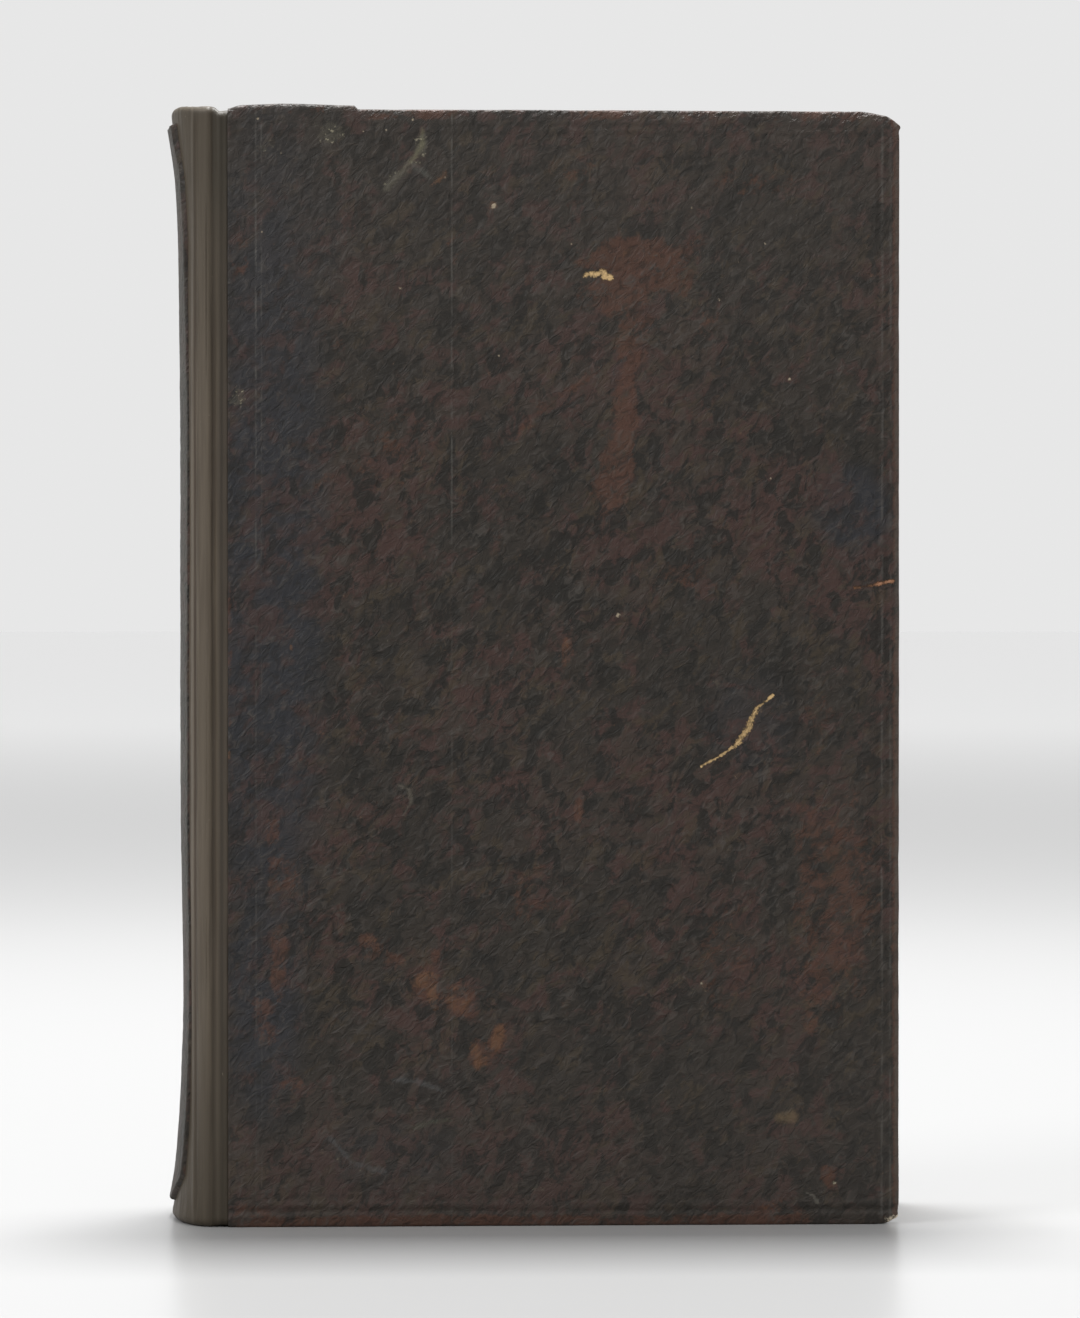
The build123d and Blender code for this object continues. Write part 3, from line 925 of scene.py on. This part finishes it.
GREENISH = (0.0228, 0.0182, 0.0138)
BROWNISH = (0.036, 0.0252, 0.0189)
REDDISH = (0.044, 0.0225, 0.018)
OCHRE = (0.042, 0.03, 0.0175)
NEAR_BLACK = (0.011, 0.0095, 0.0072)
BLUISH = (0.018, 0.0195, 0.0245)
PAINTED_LIGHT_AND_TAIL_TINT = (0.072, 0.0615, 0.0535)
GREY_DUST = (0.095, 0.09, 0.08)
GREY_SCUFF = (0.085, 0.088, 0.088)
RIDGE_RUB_AND_HIGHLIGHT = (0.058, 0.05, 0.043)         # ridges of the grain: rubbed, and partly a painted highlight
RUB_AND_SHEEN_TINT = (0.08, 0.078, 0.066)           # edges: rubbed, and partly a painted highlight and sheen
CREAM = (0.26, 0.235, 0.165)
SPECK = (0.33, 0.27, 0.19)
TAN = (0.5, 0.34, 0.16)
RAW_HIDE = (0.7, 0.6, 0.45)
ORANGE_BROWN = (0.12, 0.057, 0.026)
ORANGE_RAW = (0.26, 0.125, 0.065)

STAIN_LOOKS = (                         # attribute, from, to, share, tint
    ("rust", 0.34, 0.86, 0.66, (0.074, 0.032, 0.0195)),
    ("orange", 0.42, 1.0, 0.55, ORANGE_BROWN),
    ("pale", 0.45, 0.95, 0.3, (0.12, 0.11, 0.08)),
)
DUSTY_LINES = ((7.6, 0.16, 0.5), (8.6, 0.14, 0.4), (42.6, 0.16, 0.45), (119.9, 0.2, 0.35), (121.4, 0.2, 0.3))
SCRAPES = (                             # line, width, tint
    (CRACK, 0.22, TAN), (CRACK_WIDE, 0.42, TAN), (CHIP, 0.45, TAN), (SCRATCH, 0.24, ORANGE_BROWN),
    (SCRATCH_WIDE, 0.26, ORANGE_RAW), (BARE_CORNER, 0.65, RAW_HIDE),
)
SMEARS = (                              # line, reach, strength, tint
    (((30.7, 185.9), (34.3, 189.4), (37.6, 194.2)), 0.9, 0.4, (0.12, 0.11, 0.08)),
    (((37.4, 196.2), (37.3, 193.4), (35.2, 190.6)), 0.8, 0.45, (0.13, 0.12, 0.07)),
    (((35.6, 190.2), (38.8, 187.8)), 0.8, 0.3, (0.1, 0.1, 0.085)),
    (((33.2, 79.0), (35.0, 78.4), (35.4, 76.2), (34.0, 73.9)), 0.6, 0.35, (0.12, 0.105, 0.08)),
    (((106.3, 5.7), (107.6, 5.3), (108.3, 4.0)), 0.3, 0.5, (0.12, 0.11, 0.09)),
    (((101.7, 19.2), (103.8, 19.6)), 1.6, 0.6, (0.125, 0.085, 0.045)),
    (((21.0, 15.8), (24.6, 11.6), (30.5, 9.9)), 0.7, 0.3, GREY_SCUFF),
    (((32.3, 26.4), (36.5, 26.0), (40.8, 24.3)), 0.7, 0.3, GREY_SCUFF),
    (((35.9, 17.6), (39.0, 18.8), (42.6, 19.1)), 0.6, 0.3, (0.075, 0.08, 0.055)),
)
DOTS = (                                # x, z, radius
    (50.1, 182.8, 0.42), (85.6, 182.5, 0.22), (98.7, 176.2, 0.25), (103.2, 151.9, 0.3), (99.8, 134.1, 0.2),
    (90.6, 166, 0.3), (94, 172.8, 0.2), (72.4, 109.6, 0.42), (8, 198.1, 0.2), (30.9, 196.2, 0.2),
    (35.7, 198.1, 0.22), (8.7, 178, 0.2), (33.4, 168, 0.28), (41.4, 187.8, 0.22), (26.8, 196, 0.18),
    (51, 156, 0.22), (64, 176, 0.14),
)


def leather_colour(s, ragged):
    """Greenish black calf mottled with red, ochre and bluish patches, stained where the piece says, lightened
    towards the head as painted light from above and lightened towards the tail.
    """
    broad = s.even_noise(22, 4, 0.6)
    red = s.noise(s.scaled((6.5, 5.0, 5.0), 30), 7, 0.68, 0.5)
    red = s.plus(s.times(red, 0.7), s.times(broad, 0.35))
    ochre = s.noise(s.scaled((6, 3, 3), 44), 6, 0.65, 0.4)
    dark = s.noise(s.scaled((5, 3.5, 3.5), 60), 5, 0.65, 0.6)
    colour = s.mix(s.range(broad, 0.4, 0.65), GREENISH, BROWNISH)
    colour = s.tinted(colour, red, 0.505, 0.59, 0.9, REDDISH)
    colour = s.tinted(colour, ochre, 0.53, 0.62, 0.65, OCHRE)
    colour = s.tinted(colour, dark, 0.5, 0.58, 0.88, NEAR_BLACK)
    colour = s.mix(s.times(s.attribute("cool"), s.range(red, 0.47, 0.62, 1.0, 0.3)), colour, BLUISH)
    up = s.rest_axes()[2]
    # painted light: lighter towards the head as if lit from above; also lighter towards the tail
    dust = s.plus(s.range(up, 120.0, 205.0, 0.0, 0.18), s.range(up, 0.0, 50.0, 0.17, 0.0))
    colour = s.mix(dust, colour, PAINTED_LIGHT_AND_TAIL_TINT)
    amounts = {}
    for mark, low, high, share, tint in STAIN_LOOKS:
        amounts[mark] = s.range(s.plus(s.attribute(mark), ragged), low, high)
        colour = s.mix(s.times(amounts[mark], share), colour, tint)
    specks = s.range(s.even_noise(0.75, 3, 0.6), 0.57, 0.64)
    return s.mix(s.times(amounts["pale"], specks), colour, CREAM)


def pressed_lines(s, colour):
    """Dust caught along the upright lines of the border."""
    axes = s.rest_axes()
    broken = s.range(s.noise(s.scaled((1.5, 1.5, 7.0)), 4, 0.7), 0.42, 0.6)
    for middle, width, share in DUSTY_LINES:
        amount = s.times(s.range(s.off(axes[0], middle), width * 0.4, width * 1.6, share, 0.0), broken)
        amount = s.times(amount, s.range(axes[2], 100.0, 150.0, 0.35 if middle < 100 else 1.0, 1.0))
        colour = s.mix(amount, colour, GREY_DUST)
    return colour


def leather_grain(s):
    """Height in millimetres of the fine grain, how far its ridges are rubbed and take a painted highlight,
    and its hollows, which take painted shade.
    """
    long_grain = s.noise(s.scaled((2.5, 1.4, 1.35), 44), 3, 0.55, 0.9)
    small_grain = s.noise(s.scaled((0.9, 0.65, 0.65), 38), 3, 0.55, 0.6)
    pore_inputs = {"Vector": s.scaled((0.38, 0.38, 0.38)), "Scale": 1.0}
    pores = s.node("ShaderNodeTexVoronoi", pore_inputs, feature="F1").outputs[0]
    height = s.plus(s.times(long_grain, 0.74), s.times(small_grain, 0.07))
    height = s.plus(height, s.times(pores, 0.03))
    height = s.times(height, s.range(s.rest_axes()[2], 5.0, 55.0, 0.5, 1.0))
    return height, s.range(long_grain, 0.52, 0.72), s.range(long_grain, 0.34, 0.49, 0.5, 0.0)


def scraped(s, here, colour, height, line, width, tint):
    """Leather scraped away along a line, showing a lighter layer."""
    bite = s.even_noise(1.1, 5, 0.75)
    gap = s.swayed(s.polyline(here, line), bite, width * 5.5)
    share = s.range(gap, width * 0.5, width * 1.4, 1.0, 0.0)
    spotted = s.tinted(tint, bite, 0.42, 0.6, 1.0, tuple(part * 0.45 for part in tint))
    return s.mix(share, colour, spotted), s.math("SUBTRACT", height, s.times(share, 0.18))


def marked(s, colour, height, ragged):
    """The front cover's own marks: dusty lines, smears, scrapes and pale dots."""
    axes = s.rest_axes()
    here = s.node("ShaderNodeCombineXYZ", {0: axes[0], 1: 0.0, 2: axes[2]}).outputs[0]
    colour = pressed_lines(s, colour)
    for line, reach, share, tint in SMEARS:
        colour = s.near(colour, s.plus(s.polyline(here, line), ragged), (0.0, reach), share, tint)
    for line, width, tint in SCRAPES:
        colour, height = scraped(s, here, colour, height, line, width, tint)
    uneven = s.even_noise(0.5, 2, 0.6)
    for x, z, radius in DOTS:
        gap = s.swayed(s.vector("DISTANCE", here, (x, 0.0, z))[1], uneven, radius * 3.0)
        colour = s.near(colour, gap, (radius * 0.3, radius * 1.2), min(0.95, 0.35 + 1.4 * radius), SPECK)
    return colour, height


def old_leather(name, marks=False):
    """Dark grained calf, mottled, with stains read from the piece's attributes, a painted highlight on the
    grain's ridges and painted shade in its hollows.
    """
    s = Shader(name)
    coarse = s.noise(s.scaled((3.4, 2.4, 2.4), 42), 8, 0.78)
    ragged = s.times(s.math("SUBTRACT", coarse, 0.5), 3.2)
    colour = leather_colour(s, ragged)
    height, rub_and_highlight, hollow_shade = leather_grain(s)
    # painted highlight on the grain's ridges, partly rubbing, and painted shade in its hollows
    colour = s.mix(s.times(rub_and_highlight, s.range(s.even_noise(12, 3, 0.6), 0.35, 0.65, 0.2, 0.6)), colour, RIDGE_RUB_AND_HIGHLIGHT)
    colour = s.mix(hollow_shade, colour, NEAR_BLACK)
    # rubbed edges, partly a painted highlight on the rounded fore-edge and a painted sheen on the spine panel
    colour = s.mix(s.times(s.attribute("rim"), s.range(coarse, 0.38, 0.58, 0.25, 0.75)), colour, RUB_AND_SHEEN_TINT)
    if marks:
        colour, height = marked(s, colour, height, ragged)
    return s.finish(colour, s.range(coarse, 0.3, 0.7, 0.5, 0.64), height, 0.26)


CREASE_SHADING = (                             # painted shade in the creases and grooves, painted light on the ridges: place, width, share, tint
    (-3.85, 0.35, 0.75, (0.12, 0.1, 0.078)), (-3.35, 0.3, 0.7, (0.036, 0.024, 0.016)),
    (-1.7, 1.3, 0.45, (0.1, 0.08, 0.058)), (0.1, 0.55, 0.85, (0.034, 0.024, 0.015)),
    (0.85, 0.35, 0.3, (0.068, 0.055, 0.038)), (1.5, 0.4, 0.5, (0.028, 0.024, 0.016)),
)


def new_leather():
    """Smooth brown calf of the repair, creased lengthwise with painted shade in the creases and painted light
    on the ridges, darkened towards the boards and ends.
    """
    s = Shader("new_leather")
    streak = s.noise(s.scaled((0.9, 1.3, 24)), 4, 0.6, 0.3)
    broad = s.noise(s.scaled((6, 6, 22)), 4, 0.55)
    fine = s.even_noise(0.3, 3, 0.6)
    scuff = s.noise(s.scaled((1.0, 1.0, 3.0)), 5, 0.75)
    axes = s.rest_axes()
    across, up = axes[0], axes[2]
    colour = s.mix(s.range(streak, 0.35, 0.66), (0.052, 0.039, 0.026), (0.084, 0.065, 0.044))
    colour = s.tinted(colour, broad, 0.42, 0.66, 0.6, (0.064, 0.049, 0.031))
    # painted shade in the creases and grooves of the joint and painted light on the ridges between them
    for middle, width, share, tint in CREASE_SHADING:
        amount = s.range(s.off(across, middle), width * 0.3, width, share, 0.0)
        colour = s.mix(s.times(amount, s.range(broad, 0.3, 0.5, 0.6, 1.0)), colour, tint)
    colour = s.tinted(colour, across, 0.2, 1.4, 0.62, (0.031, 0.023, 0.016))
    at_head = s.times(s.range(across, -0.4, 0.3), s.range(up, 172.0, 192.0))
    colour = s.mix(s.times(at_head, 0.8), colour, (0.019, 0.017, 0.012))
    from_end = s.math("MINIMUM", up, s.math("SUBTRACT", SPINE_TOP, up))
    colour = s.near(colour, from_end, (8.0, 62.0), 0.6, (0.034, 0.026, 0.015))
    colour = s.tinted(colour, scuff, 0.66, 0.74, 0.6, (0.2, 0.175, 0.14))
    height = s.plus(s.times(streak, 0.1), s.times(fine, 0.025))
    return s.finish(colour, s.range(streak, 0.3, 0.7, 0.62, 0.5), height, 0.32)


def page_edges():
    """Aged paper seen edge on, each leaf a little different."""
    s = Shader("page_edges")
    lines = s.noise(s.scaled((60, 0.055, 40)), 2, 0.6)
    broad = s.noise(s.scaled((18, 6, 18)), 4, 0.55)
    dust = s.even_noise(2.2, 4, 0.6)
    colour = s.mix(s.range(lines, 0.3, 0.7), (0.3, 0.22, 0.13), (0.6, 0.49, 0.34))
    colour = s.mix(s.times(s.attribute("leaf"), 0.35), colour, (0.42, 0.32, 0.2))
    colour = s.tinted(colour, broad, 0.45, 0.75, 0.35, (0.33, 0.24, 0.145))
    colour = s.tinted(colour, dust, 0.55, 0.8, 0.4, (0.23, 0.17, 0.11))
    at_top = s.range(s.rest_axes()[2], BLOCK_HIGH[2] - 1.5, BLOCK_HIGH[2] - 0.4)
    colour = s.mix(s.times(at_top, s.range(broad, 0.3, 0.6, 0.62, 0.78)), colour, (0.185, 0.15, 0.112))
    height = s.plus(s.times(lines, 0.07), s.times(dust, 0.02))
    return s.finish(colour, s.range(dust, 0.3, 0.7, 0.8, 0.95), height, 0.2)


def endpaper():
    """Old laid paper, browned over the turn-ins and at its own edges."""
    s = Shader("endpaper")
    axes = s.rest_axes()
    from_side = s.math("SUBTRACT", PASTE_HIGH[0], axes[0])
    from_ends = s.math("MINIMUM", axes[2], s.math("SUBTRACT", HEIGHT, axes[2]))
    away = s.swayed(s.math("MINIMUM", from_side, from_ends), s.even_noise(7, 6, 0.72), 6.0)
    cloud = s.even_noise(16, 4, 0.6)
    fox = s.even_noise(3.2, 5, 0.7)
    fibre = s.noise(s.scaled((0.25, 0.25, 1.2)), 3, 0.6)
    laid = s.noise(s.scaled((40, 40, 0.5)), 1, 0.5)
    colour = s.mix(s.range(cloud, 0.3, 0.75), (0.58, 0.485, 0.345), (0.53, 0.425, 0.285))
    colour = s.near(colour, away, (12.6, 16.2), 0.42, (0.33, 0.215, 0.115))
    colour = s.near(colour, away, (0.5, 5.5), 0.6, (0.2, 0.12, 0.06))
    colour = s.tinted(colour, fox, 0.62, 0.8, 0.7, (0.27, 0.15, 0.065))
    colour = s.tinted(colour, fibre, 0.55, 0.8, 0.25, (0.66, 0.57, 0.42))
    height = s.plus(s.times(laid, 0.02), s.times(fibre, 0.015))
    return s.finish(colour, s.range(fibre, 0.3, 0.7, 0.78, 0.92), height, 0.25)


def fibrous(name, dark, light, size, depth):
    """Pasteboard, lining paper or hemp: a fibrous mix of two colours."""
    s = Shader(name)
    here = s.node("ShaderNodeTexCoord").outputs["Object"]
    strands = s.noise(s.vector("MULTIPLY", here, tuple(1 / (MM * part) for part in size))[0], 5, 0.65, 0.3)
    colour = s.mix(s.range(strands, 0.3, 0.7), dark, light)
    return s.finish(colour, s.range(strands, 0.3, 0.7, 0.75, 0.95), s.times(strands, depth))


def band_thread():
    """Two faded threads wound in turn."""
    s = Shader("band_thread")
    fray = s.noise(s.scaled((0.2, 0.2, 0.9)), 4, 0.6)
    colour = s.mix(s.attribute("thread"), (0.44, 0.36, 0.24), (0.13, 0.1, 0.085))
    colour = s.tinted(colour, fray, 0.5, 0.8, 0.5, (0.24, 0.18, 0.12))
    return s.finish(colour, s.range(fray, 0.3, 0.7, 0.6, 0.8), s.times(fray, 0.03))


# ---- the book

def wear(piece, material):
    """Give a piece its one material."""
    piece.data.materials.clear()
    piece.data.materials.append(material)


def fit(piece, material, body, node):
    """A piece that moves with one body and takes the place of one CAD node."""
    wear(piece, material)
    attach(piece, body)
    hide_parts(node)


def bend(piece, material):
    """A piece that spans the fold line, from the spine to a cover: its one material, with its transform baked
    in and no body.
    """
    wear(piece, material)
    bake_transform(piece)


ENDS = (("front", -1), ("rear", 1))

front = make_cover_leather("front_cover_skin", -1, 0.34, 0.6, front_relief, front_edge_shift, front_marks)
fit(front, old_leather("old_leather_front", marks=True), "front_cover", "front_cover_leather")
rear = make_cover_leather("rear_cover_skin", 1, 0.45, 0.85, rear_relief, rear_edge_shift, rear_marks)
plain_old_leather = old_leather("old_leather")
fit(rear, plain_old_leather, "rear_cover", "rear_cover_leather")

calf = new_leather()
fit(make_spine_skin(), calf, "root", "spine_leather")
for end, side in ENDS:
    strip = make_joint_strip(f"{end}_joint_strip", side)
    bend(strip, calf)
    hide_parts(f"{end}_joint_leather")

fit(make_spine_panel(), plain_old_leather, "root", "old_spine_panel")
fit(make_pages(), page_edges(), "root", "text_block")

thread = band_thread()
for name in ("head_band", "tail_band"):
    fit(make_endband(f"{name}_sewn", *cad_box_mm(name)), thread, "root", name)

paper = endpaper()
for end, side in ENDS:
    sheets = (("pastedown", f"{end}_cover", pastedown_relief), ("flyleaf", "root", flyleaf_relief))
    for kind, body, relief in sheets:
        sheet = make_endpaper(f"{end}_{kind}_sheet", f"{end}_{kind}", side, relief)
        fit(sheet, paper, body, f"{end}_{kind}")
    fold = make_endpaper_fold(f"{end}_endpaper_fold", side)
    bend(fold, paper)

# CAD nodes that are carried over as they are, with a material of their own
pasteboard = fibrous("pasteboard", (0.2, 0.14, 0.085), (0.36, 0.27, 0.17), (0.6, 0.3, 1.4), 0.05)
lining = fibrous("lining", (0.3, 0.22, 0.13), (0.48, 0.38, 0.25), (0.8, 0.8, 2.0), 0.04)
hemp = fibrous("hemp", (0.28, 0.21, 0.12), (0.5, 0.4, 0.26), (0.5, 0.5, 0.2), 0.06)
for node, material in (
    ("front_board", pasteboard), ("rear_board", pasteboard), ("spine_lining", lining), ("sewing_cords", hemp),
):
    wear(frame["nodes"][node], material)

# ---- floor, light and camera

FLOOR_REACH = 30.0
BY_BOOK_TONE = (0.345, 0.345, 0.345)
FLOOR_TONE = (0.45, 0.45, 0.45)
BACKDROP_TONE = (0.96, 0.96, 0.96)


def pale_floor():
    """A plain pale floor, brighter away from the book, where it stands in for the backdrop."""
    mesh = bpy.data.meshes.new("floor")
    corners = [(x * FLOOR_REACH, y * FLOOR_REACH, 0) for x, y in ((-1, -1), (1, -1), (1, 1), (-1, 1))]
    mesh.from_pydata(corners, [], [(0, 1, 2, 3)])
    s = Shader("floor")
    here = s.node("ShaderNodeTexCoord").outputs["Object"]
    away = s.node("ShaderNodeVectorMath", {0: here}, operation="LENGTH").outputs[1]
    tone = s.mix(s.range(away, 0.12, 0.8), BY_BOOK_TONE, FLOOR_TONE)
    tone = s.mix(s.range(away, 0.7, 4.0), tone, BACKDROP_TONE)
    mesh.materials.append(s.finish(tone, 0.3))
    return link(bpy.data.objects.new("floor", mesh))


def area_light(name, at_point, size, power):
    """A square soft light aimed at the middle of the book."""
    data = bpy.data.lights.new(name, "AREA")
    data.size = size
    data.energy = power
    lamp = link(bpy.data.objects.new(name, data))
    lamp.location = at_point
    away = Vector(at_point) - Vector((0.0, 0.0, HEIGHT / 2 * MM))
    lamp.rotation_euler = away.to_track_quat("Z", "Y").to_euler()


pale_floor()

world = bpy.data.worlds.new("studio")
world.use_nodes = True
world.node_tree.nodes["Background"].inputs["Color"].default_value = (1, 1, 1, 1)
world.node_tree.nodes["Background"].inputs["Strength"].default_value = 0.8
bpy.context.scene.world = world
bpy.context.scene.view_settings.view_transform = "Standard"

area_light("key", (-1.65, -0.85, 1.65), 0.75, 26.0)
area_light("fill", (0.9, -1.3, 0.7), 1.0, 1.5)
area_light("top", (0.0, 0.13, 1.0), 0.2, 20.0)

CAMERA_DISTANCE = 0.8
CAMERA_SIDE = math.radians(-2.15)       # towards the spine
CAMERA_DOWN = math.radians(0.55)
CAMERA_HEIGHT = 0.1094
CAMERA_ASIDE = 0.0013
camera_data = bpy.data.cameras.new("camera")
camera_data.lens = 122.0
camera_data.sensor_width = 36.0
camera = link(bpy.data.objects.new("camera", camera_data))
camera.location = (
    CAMERA_ASIDE + CAMERA_DISTANCE * math.sin(CAMERA_SIDE),
    -FACE * MM - CAMERA_DISTANCE * math.cos(CAMERA_SIDE),
    CAMERA_HEIGHT,
)
camera.rotation_euler = (math.pi / 2 - CAMERA_DOWN, 0.0, CAMERA_SIDE)
bpy.context.scene.camera = camera
